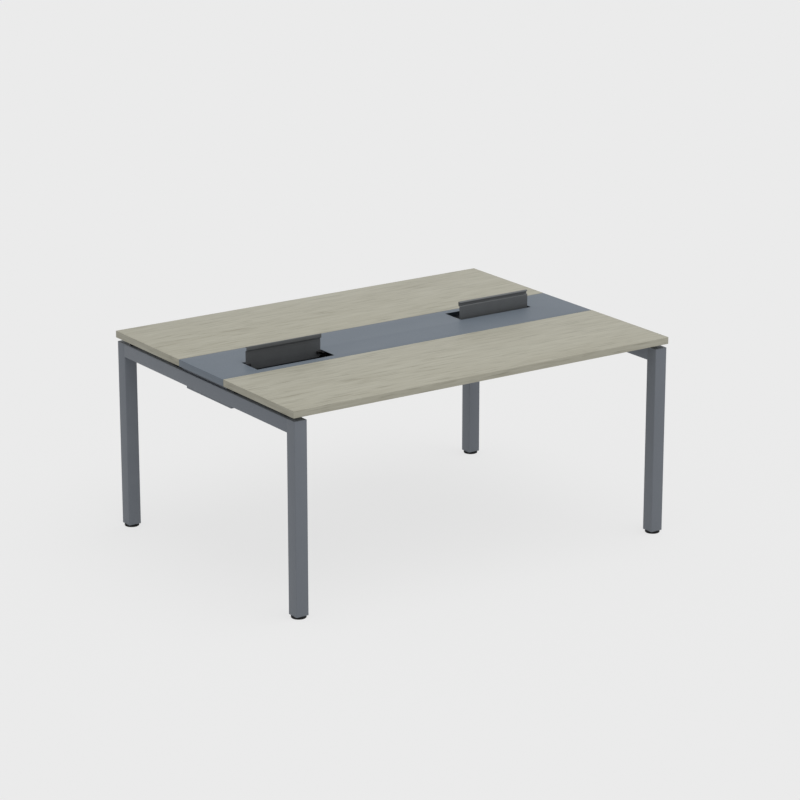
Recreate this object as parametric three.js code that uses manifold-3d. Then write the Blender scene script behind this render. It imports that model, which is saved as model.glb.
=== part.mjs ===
// Benching desk for two: a worktop each side of a steel spine cover with two cable flaps, on a frame of
// square tube with levelling feet, and a cable tray under the spine.
// Millimetres. +X runs along the desk, +Y from the near seat to the far seat, +Z up.
// The origin is on the floor under the middle of the desk, and the flaps stand open.
import * as THREE from "three";
import { mergeVertices } from "three/addons/utils/BufferGeometryUtils.js";
import Module from "manifold-3d";

// Worktops
const DESK_LENGTH = 1600;
const SURFACE_HEIGHT = 744;
const WORKTOP_DEPTH = 450;
const WORKTOP_THICKNESS = 25;
const EDGE_BAND_THICKNESS = 2;
const EDGE_BAND_CORNER_RADIUS = 2;

// Spine cover, folded from sheet steel
const SPINE_WIDTH = 300;
const SPINE_SIDE_GAP = 1;
const SPINE_SHEET = 1.5;
const CABLE_OPENING_LENGTH = 320;
const CABLE_OPENING_DEPTH = 104;
const CABLE_OPENING_FROM_CENTRE_LINE = 12;
const CABLE_OPENING_FROM_END = 160;

// Cable flaps with a finger groove along the free edge, each turning on two moulded pins held by moulded
// brackets under the spine cover
const FLAP_THICKNESS = 2;
const FLAP_END_GAP = 5;
const FLAP_TAIL_GAP = 3;
const FLAP_EDGE_GAP = 13;
const GROOVE_DEPTH = 7;
const GROOVE_WIDTH = 12;
const GROOVE_MOUTH_RADIUS = 4;
const GROOVE_LIP_RADIUS = 2.5;
const GROOVE_LIP_LEAN_DEGREES = 25;
const PIVOT_FROM_OPENING_EDGE = 23;
const KNUCKLE_LENGTH = 17;
const PIVOT_PIN_RADIUS = 2.5;
const PIVOT_PIN_ENGAGEMENT = 15;
const BARREL_WALL = 1.7;
const BARREL_SUNK_IN_PLATE = 1;
const BRACKET_THICKNESS = 3;
const BRACKET_SETBACK = 3;
const BRACKET_FLANGE = 20;
const BRACKET_MARGIN = 2;
const STOP_TAB_WIDTH = 6;
const STOP_TAB_THICKNESS = 4;
const STOP_TAB_LAP = 6;
const CLOSED_STOP_FROM_PIVOT = 14;

// Frame of square tube
const TUBE_SIZE = 50;
const TUBE_WALL = 2;
const TUBE_CORNER_RADIUS = 3;
const FRAME_END_INSET = 5;
const FRAME_SIDE_INSET = 3;
const SHADOW_GAP = 14;
const LEG_CAP_HEIGHT = 12;

// Beams that join the two end frames under the middle of each worktop
const BEAM_HEIGHT = 50;
const BEAM_WIDTH = 25;
const BEAM_WALL = 2;
const BEAM_CORNER_RADIUS = 3;
const END_PLATE_WIDTH = 70;
const END_PLATE_THICKNESS = 4;

// What carries the worktops and the spine cover over the frame
const SPACER_RADIUS = 15;
const SPACER_FROM_SPINE = 50;
const SPACER_FROM_SEAT_EDGE = 80;
const SPINE_SUPPORT_WIDTH = 30;
const SPINE_SUPPORT_WALL = 2;

// Cable tray, as wide as the spine, folded from sheet steel and bolted under the end rails; its sides rise
// between the rails
const TRAY_WIDTH = SPINE_WIDTH;
const TRAY_DEPTH = 22;
const TRAY_SIDE_FROM_RAIL = 10;
const TRAY_SHEET = 1.5;
const TRAY_LAP_UNDER_RAIL = 25;
const TRAY_BOLT_FROM_SIDE = 50;
const TRAY_BOLT_RADIUS = 3;
const TRAY_BOLT_HEAD_RADIUS = 6.5;
const TRAY_BOLT_HEAD_HEIGHT = 4;
const TRAY_BOLT_GRIP = 8;

// Levelling feet
const PAD_RADIUS = 27;
const PAD_BASE_RADIUS = 25;
const PAD_HEIGHT = 9.3;
const PAD_RIM_BOTTOM = 2.5;
const PAD_RIM_TOP = 7.3;
const PAD_SOCKET_DEPTH = 5;
const STEM_RADIUS = 5;
const STEM_LENGTH = 50;
const FOOT_INSERT_HEIGHT = 25;

// Clearances: between pieces that are fixed face to face, and round a pin, bolt or stem in its hole
const FACE_GAP = 0.3;
const HOLE_CLEARANCE = 0.3;

// Fineness of round shapes
const ROUND_SEGMENTS = 16;
const FOOT_SEGMENTS = 24;
const CORNER_SEGMENTS = 2;
const BEND_SEGMENTS = 4;
const SMALLEST_RADIUS = 0.2;
const CUT_OVERRUN = 10;
const MERGE_TOLERANCE = 1e-4;

const HALF_TURN = Math.PI;
const QUARTER_TURN = Math.PI / 2;

// Levels and places that follow from the sizes above
const worktopUnderside = SURFACE_HEIGHT - WORKTOP_THICKNESS;
const worktopCentreY = (SPINE_WIDTH + WORKTOP_DEPTH) / 2;
const seatEdgeY = SPINE_WIDTH / 2 + WORKTOP_DEPTH;
const frameTop = worktopUnderside - SHADOW_GAP;
const railBottom = frameTop - TUBE_SIZE;
const legBottom = PAD_HEIGHT + FACE_GAP;
const legX = DESK_LENGTH / 2 - FRAME_END_INSET - TUBE_SIZE / 2;
const legY = seatEdgeY - FRAME_SIDE_INSET - TUBE_SIZE / 2;
const railInnerX = legX - TUBE_SIZE / 2;
const tubeInside = TUBE_SIZE - 2 * TUBE_WALL;
const plugSize = tubeInside - 2 * FACE_GAP;
const plugCornerRadius = innerRadius(TUBE_CORNER_RADIUS, TUBE_WALL) + FACE_GAP;
const stemHoleRadius = STEM_RADIUS + HOLE_CLEARANCE;
const trayHalfLength = railInnerX + TRAY_LAP_UNDER_RAIL;
const trayBoltX = railInnerX + TRAY_LAP_UNDER_RAIL / 2;
const trayBoltY = TRAY_WIDTH / 2 - TRAY_BOLT_FROM_SIDE;
const trayBoltHoleRadius = TRAY_BOLT_RADIUS + HOLE_CLEARANCE;

// The flap's section is drawn standing open, about its pivot: u points towards the cable opening, w up.
const barrelBore = PIVOT_PIN_RADIUS + HOLE_CLEARANCE;
const barrelRadius = barrelBore + BARREL_WALL;
const flapUnderFace = BARREL_SUNK_IN_PLATE - barrelRadius;
const flapTopFace = flapUnderFace - FLAP_THICKNESS;
const flapTail = PIVOT_FROM_OPENING_EDGE - FLAP_TAIL_GAP;
const flapReach = CABLE_OPENING_DEPTH - PIVOT_FROM_OPENING_EDGE - FLAP_EDGE_GAP;
const grooveStart = flapReach - GROOVE_WIDTH;
const grooveBack = flapUnderFace + GROOVE_DEPTH;
const grooveLipLean = THREE.MathUtils.degToRad(GROOVE_LIP_LEAN_DEGREES);
const flapLength = CABLE_OPENING_LENGTH - 2 * FLAP_END_GAP;
const openingX = DESK_LENGTH / 2 - CABLE_OPENING_FROM_END - CABLE_OPENING_LENGTH / 2;
const pivotY = CABLE_OPENING_FROM_CENTRE_LINE + PIVOT_FROM_OPENING_EDGE;
const pivotZ = SURFACE_HEIGHT + flapTopFace;
const bracketInnerX = CABLE_OPENING_LENGTH / 2 + BRACKET_SETBACK;
const bracketOuterX = bracketInnerX + BRACKET_THICKNESS;
const pinTipX = flapLength / 2 - PIVOT_PIN_ENGAGEMENT;

const SIDES = [
  ["near", -1],
  ["far", 1],
];
const ENDS = [
  ["left", -1],
  ["right", 1],
];

const wasm = await Module();
wasm.setup();

const laminate = finish(0xaca997, 0.6, 0);
const edgeBanding = finish(0x98968a, 0.6, 0);
const powderCoat = finish(0x676b70, 0.55, 0.3);
const spineCoat = finish(0x777e88, 0.55, 0.3);
const darkAnodised = finish(0x434546, 0.45, 0.6);
const blackPlastic = finish(0x161616, 0.6, 0);
const zincPlate = finish(0xb4b8bb, 0.35, 0.9);

const desk = new THREE.Group();

function finish(color, roughness, metalness) {
  return new THREE.MeshStandardMaterial({ color, roughness, metalness });
}

// Adds one named piece to the desk, or to a group on it.
function addPiece(name, geometry, material, parent = desk) {
  const mesh = new THREE.Mesh(geometry, material);
  mesh.name = name;
  parent.add(mesh);
  return mesh;
}

// A block between two corners.
function block(low, high) {
  const size = high.map((value, axis) => value - low[axis]);
  const centre = high.map((value, axis) => (value + low[axis]) / 2);
  return new THREE.BoxGeometry(...size).translate(...centre);
}

// A round bar standing on z = 0.
function bar(radius, height, segments) {
  const geometry = new THREE.CylinderGeometry(radius, radius, height, segments);
  return geometry.rotateX(QUARTER_TURN).translate(0, 0, height / 2);
}

// A solid of revolution about Z from [radius, z] points that start and end on the axis.
function turned(points, segments) {
  const profile = points.map(([radius, z]) => new THREE.Vector2(radius, z));
  return new THREE.LatheGeometry(profile, segments).rotateX(QUARTER_TURN);
}

function roundedRectangle(width, height, radius) {
  const x = width / 2 - radius;
  const y = height / 2 - radius;
  const outline = new THREE.Shape();
  outline.absarc(x, -y, radius, -QUARTER_TURN, 0);
  outline.absarc(x, y, radius, 0, QUARTER_TURN);
  outline.absarc(-x, y, radius, QUARTER_TURN, HALF_TURN);
  outline.absarc(-x, -y, radius, HALF_TURN, HALF_TURN + QUARTER_TURN);
  outline.closePath();
  return outline;
}

// An extrusion standing on z = 0.
function extruded(shape, depth, curveSegments) {
  return new THREE.ExtrudeGeometry(shape, { depth, curveSegments, bevelEnabled: false });
}

// Turns an extrusion so that its section lies in Y and Z and its depth runs along X, about the middle.
function alongX(geometry, depth) {
  return geometry.translate(0, 0, -depth / 2).rotateX(QUARTER_TURN).rotateZ(QUARTER_TURN);
}

// Turns an extrusion so that its section lies in X and Z and its depth runs along Y, about the middle.
function alongY(geometry, depth) {
  return geometry.translate(0, 0, -depth / 2).rotateX(QUARTER_TURN);
}

function solid(geometry) {
  const bare = geometry.clone();
  bare.deleteAttribute("normal");
  bare.deleteAttribute("uv");
  const merged = mergeVertices(bare, MERGE_TOLERANCE);
  const vertProperties = merged.attributes.position.array;
  const triVerts = new Uint32Array(merged.index.array);
  return new wasm.Manifold(new wasm.Mesh({ numProp: 3, vertProperties, triVerts }));
}

function geometryOf(body) {
  const { vertProperties, triVerts } = body.getMesh();
  const geometry = new THREE.BufferGeometry();
  geometry.setAttribute("position", new THREE.BufferAttribute(vertProperties, 3));
  geometry.setIndex(new THREE.BufferAttribute(triVerts, 1));
  geometry.computeVertexNormals();
  return geometry;
}

function joined(geometries) {
  return geometries.map(solid).reduce((whole, next) => whole.add(next));
}

function cut(geometry, tool) {
  return geometryOf(solid(geometry).subtract(solid(tool)));
}

// A tube open at both ends, standing on z = 0.
function hollowTube(width, height, wall, radius, length) {
  const outside = roundedRectangle(width, height, radius);
  const inside = roundedRectangle(width - 2 * wall, height - 2 * wall, innerRadius(radius, wall));
  const bore = extruded(inside, length + 2 * CUT_OVERRUN, CORNER_SEGMENTS).translate(0, 0, -CUT_OVERRUN);
  return cut(extruded(outside, length, CORNER_SEGMENTS), bore);
}

function innerRadius(radius, wall) {
  return Math.max(radius - wall, SMALLEST_RADIUS);
}

// A board with a band of edging glued round all four edges.
function addWorktop(side, sideSign) {
  const band = EDGE_BAND_THICKNESS + FACE_GAP;
  const boardLength = DESK_LENGTH - 2 * band;
  const boardDepth = WORKTOP_DEPTH - 2 * band;
  const board = new THREE.BoxGeometry(boardLength, boardDepth, WORKTOP_THICKNESS);
  const boardMesh = addPiece(`worktop_${side}`, board, laminate);
  boardMesh.position.set(0, sideSign * worktopCentreY, worktopUnderside + WORKTOP_THICKNESS / 2);

  const outline = roundedRectangle(DESK_LENGTH, WORKTOP_DEPTH, EDGE_BAND_CORNER_RADIUS);
  const innerX = DESK_LENGTH / 2 - EDGE_BAND_THICKNESS;
  const innerY = WORKTOP_DEPTH / 2 - EDGE_BAND_THICKNESS;
  const inside = block([-innerX, -innerY, -CUT_OVERRUN], [innerX, innerY, WORKTOP_THICKNESS + CUT_OVERRUN]);
  const edging = cut(extruded(outline, WORKTOP_THICKNESS, CORNER_SEGMENTS), inside);
  const bandMesh = addPiece(`edge_band_${side}`, edging, edgeBanding);
  bandMesh.position.set(0, sideSign * worktopCentreY, worktopUnderside);
}

// A shallow folded lid with four turned-down sides and a cable opening for each seat.
function addSpineCover() {
  const x = DESK_LENGTH / 2;
  const y = SPINE_WIDTH / 2 - SPINE_SIDE_GAP;
  const sheetUnderside = SURFACE_HEIGHT - SPINE_SHEET;
  const outside = solid(block([-x, -y, worktopUnderside], [x, y, SURFACE_HEIGHT]));
  const inside = solid(
    block(
      [-x + SPINE_SHEET, -y + SPINE_SHEET, worktopUnderside - CUT_OVERRUN],
      [x - SPINE_SHEET, y - SPINE_SHEET, sheetUnderside],
    ),
  );
  let cover = outside.subtract(inside);
  for (const [, sign] of ENDS) {
    const opening = new THREE.BoxGeometry(CABLE_OPENING_LENGTH, CABLE_OPENING_DEPTH, CUT_OVERRUN);
    opening.translate(
      sign * openingX,
      sign * (CABLE_OPENING_FROM_CENTRE_LINE + CABLE_OPENING_DEPTH / 2),
      SURFACE_HEIGHT,
    );
    cover = cover.subtract(solid(opening));
  }
  addPiece("spine_cover", geometryOf(cover), spineCoat);
}

// The flap's section: a plate that bends down into a finger groove and ends in a lip that leans over the groove.
function flapSection() {
  const mouthU = flapTopFace + GROOVE_MOUTH_RADIUS;
  const plateEnd = grooveStart - GROOVE_DEPTH;
  const floorRadius = GROOVE_DEPTH - GROOVE_MOUTH_RADIUS;
  const lipU = grooveBack - GROOVE_LIP_RADIUS;
  const lipW = flapReach - GROOVE_LIP_RADIUS;
  const lipTurn = QUARTER_TURN + grooveLipLean;
  const tipRadius = FLAP_THICKNESS / 2;
  const middleRadius = GROOVE_LIP_RADIUS - tipRadius;
  const tipU = flapTopFace + tipRadius;
  const lipRun = lipU + middleRadius * Math.cos(lipTurn) - tipU;
  const tipW = lipW + middleRadius * Math.sin(lipTurn) - lipRun * Math.tan(grooveLipLean);
  const section = new THREE.Shape();
  section.moveTo(flapTopFace, -flapTail);
  section.lineTo(flapUnderFace, -flapTail);
  section.absarc(mouthU, plateEnd, innerRadius(GROOVE_MOUTH_RADIUS, FLAP_THICKNESS), HALF_TURN, QUARTER_TURN, true);
  section.absarc(mouthU, grooveStart, floorRadius + FLAP_THICKNESS, -QUARTER_TURN, 0);
  section.absarc(lipU, lipW, GROOVE_LIP_RADIUS, 0, lipTurn);
  section.absarc(tipU, tipW, tipRadius, lipTurn, lipTurn + HALF_TURN);
  section.absarc(lipU, lipW, innerRadius(GROOVE_LIP_RADIUS, FLAP_THICKNESS), lipTurn, 0, true);
  section.absarc(mouthU, grooveStart, floorRadius, 0, -QUARTER_TURN, true);
  section.absarc(mouthU, plateEnd, GROOVE_MOUTH_RADIUS, QUARTER_TURN, HALF_TURN);
  section.closePath();
  return section;
}

// The barrel at one end of a flap that takes the pivot pin.
function knuckle(endSign) {
  const barrel = bar(barrelRadius, KNUCKLE_LENGTH, ROUND_SEGMENTS).rotateY(QUARTER_TURN);
  return barrel.translate(endSign > 0 ? flapLength / 2 - KNUCKLE_LENGTH : -flapLength / 2, 0, 0);
}

// A bar along X through the pivot, to cut the pins' holes.
function pivotHole(fromX, toX) {
  const length = toX - fromX + 2 * CUT_OVERRUN;
  const hole = bar(barrelBore, length, ROUND_SEGMENTS).rotateY(QUARTER_TURN);
  return hole.translate(fromX - CUT_OVERRUN, 0, 0);
}

// A bracket at one end of a flap: an ear with the pin's hole, a flange under the spine cover, and the two
// tabs that stop the flap open and closed. endSign is +1 at the flap's end nearer the end of the desk.
function pivotBracket(endSign) {
  const top = SURFACE_HEIGHT - SPINE_SHEET - FACE_GAP - pivotZ;
  const stopOpen = flapUnderFace + FACE_GAP;
  const stopClosed = -flapUnderFace - FACE_GAP;
  const earLow = flapTopFace - BRACKET_MARGIN;
  const earHigh = CLOSED_STOP_FROM_PIVOT + STOP_TAB_WIDTH + BRACKET_MARGIN;
  const tabX = flapLength / 2 - STOP_TAB_LAP;
  const ear = block([bracketInnerX, earLow, -flapTail - BRACKET_MARGIN], [bracketOuterX, earHigh, top]);
  const flange = block(
    [bracketInnerX, earLow, top - BRACKET_THICKNESS],
    [bracketOuterX + BRACKET_FLANGE, earHigh, top],
  );
  const openTab = block(
    [tabX, stopOpen, -flapTail],
    [bracketOuterX, stopOpen + STOP_TAB_THICKNESS, STOP_TAB_WIDTH - flapTail],
  );
  const closedTab = block(
    [tabX, CLOSED_STOP_FROM_PIVOT, stopClosed - STOP_TAB_THICKNESS],
    [bracketOuterX, CLOSED_STOP_FROM_PIVOT + STOP_TAB_WIDTH, stopClosed],
  );
  const hole = solid(pivotHole(bracketInnerX, bracketOuterX));
  const bracket = joined([ear, flange, openTab, closedTab]).subtract(hole);
  return geometryOf(endSign > 0 ? bracket : bracket.mirror([1, 0, 0]));
}

// One flap with its pins and brackets, in a group on its pivot that faces the opening it covers.
function addFlap(side, sign) {
  const station = new THREE.Group();
  station.position.set(sign * openingX, sign * pivotY, pivotZ);
  station.rotation.z = sign > 0 ? 0 : HALF_TURN;
  desk.add(station);
  const plate = alongX(extruded(flapSection(), flapLength, BEND_SEGMENTS), flapLength);
  const hole = solid(pivotHole(-flapLength / 2, flapLength / 2));
  const flap = joined([plate, knuckle(-1), knuckle(1)]).subtract(hole);
  addPiece(`flap_${side}`, geometryOf(flap), darkAnodised, station);
  for (const [end, endSign] of [["inner", -1], ["outer", 1]]) {
    const pinLength = bracketOuterX - pinTipX;
    const pin = bar(PIVOT_PIN_RADIUS, pinLength, ROUND_SEGMENTS).rotateY(QUARTER_TURN);
    pin.translate(endSign > 0 ? pinTipX : -bracketOuterX, 0, 0);
    addPiece(`flap_${side}_pin_${end}`, pin, blackPlastic, station);
    addPiece(`flap_${side}_bracket_${end}`, pivotBracket(endSign), blackPlastic, station);
  }
}

// A leg with its cap, the insert in its lower end, and the levelling foot screwed into the insert.
function addLeg(corner, x, y) {
  const place = new THREE.Group();
  place.position.set(x, y, 0);
  desk.add(place);
  const tube = hollowTube(TUBE_SIZE, TUBE_SIZE, TUBE_WALL, TUBE_CORNER_RADIUS, frameTop - legBottom);
  addPiece(`leg_${corner}`, tube.translate(0, 0, legBottom), powderCoat, place);

  const plug = roundedRectangle(plugSize, plugSize, plugCornerRadius);
  const cap = extruded(plug, LEG_CAP_HEIGHT, CORNER_SEGMENTS).translate(0, 0, frameTop - LEG_CAP_HEIGHT);
  addPiece(`leg_cap_${corner}`, cap, powderCoat, place);

  const plugBlock = extruded(plug, FOOT_INSERT_HEIGHT, CORNER_SEGMENTS);
  const stemHole = bar(stemHoleRadius, FOOT_INSERT_HEIGHT + 2 * CUT_OVERRUN, ROUND_SEGMENTS);
  const insert = cut(plugBlock, stemHole.translate(0, 0, -CUT_OVERRUN)).translate(0, 0, legBottom);
  addPiece(`foot_insert_${corner}`, insert, blackPlastic, place);

  const socketFloor = PAD_HEIGHT - PAD_SOCKET_DEPTH;
  const pad = turned(
    [
      [0, 0],
      [PAD_BASE_RADIUS, 0],
      [PAD_RADIUS, PAD_RIM_BOTTOM],
      [PAD_RADIUS, PAD_RIM_TOP],
      [PAD_BASE_RADIUS, PAD_HEIGHT],
      [stemHoleRadius, PAD_HEIGHT],
      [stemHoleRadius, socketFloor],
      [0, socketFloor],
    ],
    FOOT_SEGMENTS,
  );
  addPiece(`foot_pad_${corner}`, pad, blackPlastic, place);
  const stem = bar(STEM_RADIUS, STEM_LENGTH, ROUND_SEGMENTS).translate(0, 0, socketFloor + FACE_GAP);
  addPiece(`foot_stem_${corner}`, stem, zincPlate, place);
}

// The rail between two legs, with holes in its underside for the tray's bolts, and what stands on the rail.
function addEndRail(end, endSign) {
  const length = 2 * (legY - TUBE_SIZE / 2 - FACE_GAP);
  const tube = alongY(hollowTube(TUBE_SIZE, TUBE_SIZE, TUBE_WALL, TUBE_CORNER_RADIUS, length), length);
  let rail = solid(tube.translate(endSign * legX, 0, frameTop - TUBE_SIZE / 2));
  for (const [, sideSign] of SIDES) {
    const hole = bar(trayBoltHoleRadius, CUT_OVERRUN, ROUND_SEGMENTS);
    hole.translate(endSign * trayBoltX, sideSign * trayBoltY, railBottom + TUBE_WALL / 2 - CUT_OVERRUN / 2);
    rail = rail.subtract(solid(hole));
  }
  addPiece(`end_rail_${end}`, geometryOf(rail), powderCoat);
  addSpineSupport(end, endSign);
}

// An inverted channel on the rail that carries the end of the spine cover.
function addSpineSupport(end, endSign) {
  const length = SPINE_WIDTH - 2 * SPINE_SIDE_GAP;
  const height = SHADOW_GAP - 2 * FACE_GAP;
  const half = SPINE_SUPPORT_WIDTH / 2;
  const inner = half - SPINE_SUPPORT_WALL;
  const section = new THREE.Shape();
  section.moveTo(-half, 0);
  section.lineTo(-inner, 0);
  section.lineTo(-inner, height - SPINE_SUPPORT_WALL);
  section.lineTo(inner, height - SPINE_SUPPORT_WALL);
  section.lineTo(inner, 0);
  section.lineTo(half, 0);
  section.lineTo(half, height);
  section.lineTo(-half, height);
  section.closePath();
  const channel = alongY(extruded(section, length, CORNER_SEGMENTS), length);
  const mesh = addPiece(`spine_support_${end}`, channel, powderCoat);
  mesh.position.set(endSign * legX, 0, frameTop + FACE_GAP);
}

function addSpacer(name, x, y) {
  const mesh = addPiece(name, bar(SPACER_RADIUS, SHADOW_GAP - 2 * FACE_GAP, ROUND_SEGMENTS), blackPlastic);
  mesh.position.set(x, y, frameTop + FACE_GAP);
}

// A beam with the end plates that bolt it to the two end rails, and the spacer at its middle.
function addBeam(side, sideSign) {
  const plateOuterX = railInnerX - FACE_GAP;
  const plateInnerX = plateOuterX - END_PLATE_THICKNESS;
  const length = 2 * (plateInnerX - FACE_GAP);
  const y = sideSign * worktopCentreY;
  const tube = hollowTube(BEAM_WIDTH, BEAM_HEIGHT, BEAM_WALL, BEAM_CORNER_RADIUS, length);
  const beam = addPiece(`beam_${side}`, alongX(tube, length), powderCoat);
  beam.position.set(0, y, frameTop - BEAM_HEIGHT / 2);
  for (const [end, endSign] of ENDS) {
    const plate = new THREE.BoxGeometry(END_PLATE_THICKNESS, END_PLATE_WIDTH, BEAM_HEIGHT);
    const mesh = addPiece(`beam_plate_${side}_${end}`, plate, powderCoat);
    mesh.position.set((endSign * (plateOuterX + plateInnerX)) / 2, y, frameTop - BEAM_HEIGHT / 2);
  }
  addSpacer(`spacer_${side}_middle`, 0, y);
}

// An open folded tray whose ends turn up and then in, to lie under the end rails, and whose sides rise
// to the worktops.
function addCableTray() {
  const x = trayHalfLength;
  const y = TRAY_WIDTH / 2;
  const top = railBottom - FACE_GAP;
  const bottom = railBottom - TRAY_DEPTH;
  const outside = solid(block([-x, -y, bottom], [x, y, top]));
  const lapX = railInnerX;
  const flangeUnderside = top - TRAY_SHEET;
  const sheetInside = [x - TRAY_SHEET, y - TRAY_SHEET];
  const underFlanges = solid(
    block(
      [-sheetInside[0], -sheetInside[1], bottom + TRAY_SHEET],
      [sheetInside[0], sheetInside[1], flangeUnderside],
    ),
  );
  const mouth = solid(
    block([-lapX, -sheetInside[1], flangeUnderside - TRAY_SHEET], [lapX, sheetInside[1], top + CUT_OVERRUN]),
  );
  let tray = outside.subtract(underFlanges).subtract(mouth);
  const sideX = railInnerX - TRAY_SIDE_FROM_RAIL;
  const sideTop = worktopUnderside - FACE_GAP;
  for (const [, sideSign] of SIDES) {
    const faces = [sideSign * sheetInside[1], sideSign * y].sort((a, b) => a - b);
    tray = tray.add(solid(block([-sideX, faces[0], bottom], [sideX, faces[1], sideTop])));
  }
  for (const [end, endSign] of ENDS) {
    for (const [side, sideSign] of SIDES) {
      const boltX = endSign * trayBoltX;
      const boltY = sideSign * trayBoltY;
      const hole = bar(trayBoltHoleRadius, TRAY_SHEET + CUT_OVERRUN, ROUND_SEGMENTS);
      hole.translate(boltX, boltY, flangeUnderside - CUT_OVERRUN / 2);
      tray = tray.subtract(solid(hole));
      addTrayBolt(`tray_bolt_${side}_${end}`, boltX, boltY, flangeUnderside - FACE_GAP);
    }
  }
  addPiece("cable_tray", geometryOf(tray), powderCoat);
}

// A bolt with its head under the tray's end flange and its shank up through the rail's lower wall.
function addTrayBolt(name, x, y, headTop) {
  const bolt = turned(
    [
      [0, -TRAY_BOLT_HEAD_HEIGHT],
      [TRAY_BOLT_HEAD_RADIUS, -TRAY_BOLT_HEAD_HEIGHT],
      [TRAY_BOLT_HEAD_RADIUS, 0],
      [TRAY_BOLT_RADIUS, 0],
      [TRAY_BOLT_RADIUS, TRAY_BOLT_GRIP],
      [0, TRAY_BOLT_GRIP],
    ],
    ROUND_SEGMENTS,
  );
  addPiece(name, bolt, zincPlate).position.set(x, y, headTop);
}

for (const [side, sideSign] of SIDES) {
  addWorktop(side, sideSign);
  addBeam(side, sideSign);
  for (const [end, endSign] of ENDS) {
    addLeg(`${side}_${end}`, endSign * legX, sideSign * legY);
    addSpacer(`spacer_${side}_${end}_inner`, endSign * legX, sideSign * (SPINE_WIDTH / 2 + SPACER_FROM_SPINE));
    addSpacer(`spacer_${side}_${end}_outer`, endSign * legX, sideSign * (seatEdgeY - SPACER_FROM_SEAT_EDGE));
  }
}
for (const [end, endSign] of ENDS) {
  addEndRail(end, endSign);
  addFlap(end, endSign);
}
addSpineCover();
addCableTray();

export default desk;
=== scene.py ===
import math

import bmesh
import bpy
from mathutils import Color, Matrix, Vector


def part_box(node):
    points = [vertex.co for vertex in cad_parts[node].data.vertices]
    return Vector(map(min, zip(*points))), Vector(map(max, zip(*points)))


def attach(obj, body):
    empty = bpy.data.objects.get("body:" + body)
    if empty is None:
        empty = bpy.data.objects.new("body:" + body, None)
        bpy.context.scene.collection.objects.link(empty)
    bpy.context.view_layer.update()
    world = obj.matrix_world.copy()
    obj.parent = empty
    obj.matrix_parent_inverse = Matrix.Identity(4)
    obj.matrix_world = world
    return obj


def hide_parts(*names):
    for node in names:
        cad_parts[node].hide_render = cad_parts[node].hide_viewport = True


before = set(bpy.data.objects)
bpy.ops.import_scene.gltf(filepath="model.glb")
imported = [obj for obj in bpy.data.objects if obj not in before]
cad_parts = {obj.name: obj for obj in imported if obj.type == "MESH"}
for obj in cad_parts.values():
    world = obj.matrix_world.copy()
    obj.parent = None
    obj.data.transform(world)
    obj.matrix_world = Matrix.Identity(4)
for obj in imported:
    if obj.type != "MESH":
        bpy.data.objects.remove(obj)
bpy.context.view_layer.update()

# Where the photograph was taken from
CAMERA_AZIMUTH = math.radians(-34.414)
CAMERA_ELEVATION = math.radians(16.998)
CAMERA_DISTANCE = 11.1855
CAMERA_TARGET = Vector((0.1192, 0.1173, 0.444))
CAMERA_LENS = 136.257
CAMERA_SENSOR = 36.0

# Sizes of the desk that its boxes don't give, in metres
EDGE_BAND = 0.002
EDGE_SOFTENING = 0.0008
BOARD_SOFTENING = 0.0002
SPINE_SHEET = 0.0015
SPINE_FOLD = 0.0022
OPENING_X = (0.320, 0.640)
OPENING_Y = (0.012, 0.116)
TUBE_WALL = 0.002
TUBE_CORNER = 0.003
CAP_CORNER = TUBE_CORNER / 2
CAP_EDGE = TUBE_WALL / 2
WELD_GAP = 0.0003
TRAY_SHEET = 0.0015
TRAY_FOLD = 0.002
TRAY_TROUGH = 0.0217
TRAY_SIDE_END = 0.735
TRAY_SIDE_CORNER = 0.008
TRAY_LAP = 0.025
TRAY_CORNER_NOTCH = 0.003
SUPPORT_WALL = 0.002
SUPPORT_FOLD = 0.003
SPACER_EDGE = 0.0015
CUT_EDGE = 0.0003

# The flap's section, upright as in the photograph; its top face is given from the pivot
FLAP_TOP_FACE = -0.0055
FLAP_THICKNESS = 0.002
GROOVE_DEPTH = 0.007
GROOVE_LEDGE = 0.015
GROOVE_MOUTH_RADIUS = 0.004
GROOVE_LIP_RADIUS = 0.0025
GROOVE_LIP_LEAN = math.radians(25)
LIP_TIP_ROUNDING = 0.0008
TAIL_ROUNDING = 0.0006
FLAP_END_EDGE = 0.0002
KNUCKLE_LENGTH = 0.017
KNUCKLE_RADIUS = 0.0045
KNUCKLE_BORE = 0.0028
PIN_CHAMFER = 0.0005

# Feet
PAD_ROUNDING = 0.0023
PAD_SOLE_EDGE = 0.0075
PAD_SOLE_HOLLOW = 0.0008
PAD_PARTING_HEIGHT = 0.0047
PAD_PARTING_DEPTH = 0.0003
PAD_SOCKET_RADIUS = 0.0053
PAD_SOCKET_DEPTH = 0.005
STEM_RADIUS = 0.005
STEM_ROOT = 0.0043
STEM_PITCH = 0.0015
STEM_FIRST_CREST = 0.75 * STEM_PITCH

# Fasteners and the plates of the beams
BUTTON_CROWN = math.radians(45)
BUTTON_STEPS = 4
BOLT_SHANK = 0.003
BOLT_SOCKET = 0.0022
BOLT_SOCKET_DEPTH = 0.0022
TRAY_BOLT_HEIGHT = 0.004
SCREW_HEAD = 0.0075
SCREW_HEIGHT = 0.0035
PLATE_BOLT_SPREAD = 0.024
PLATE_BOLT_HEAD = 0.0065
PLATE_CORNER = 0.004

# Fineness
EDGE_SEGMENTS = 2
CAP_SEGMENTS = 3
FOLD_SEGMENTS = 4
BEND_SEGMENTS = 6
ROUND_VERTICES = 48
PAD_VERTICES = 72
THREAD_VERTICES = 32
BOLT_VERTICES = 36
HEXAGON = 6
SMOOTH_ANGLE = math.radians(32)
FOLD_ANGLE = math.radians(60)
FLAT_ANGLE = math.radians(1)
FACING = 0.9
TINY = 1e-5

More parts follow.
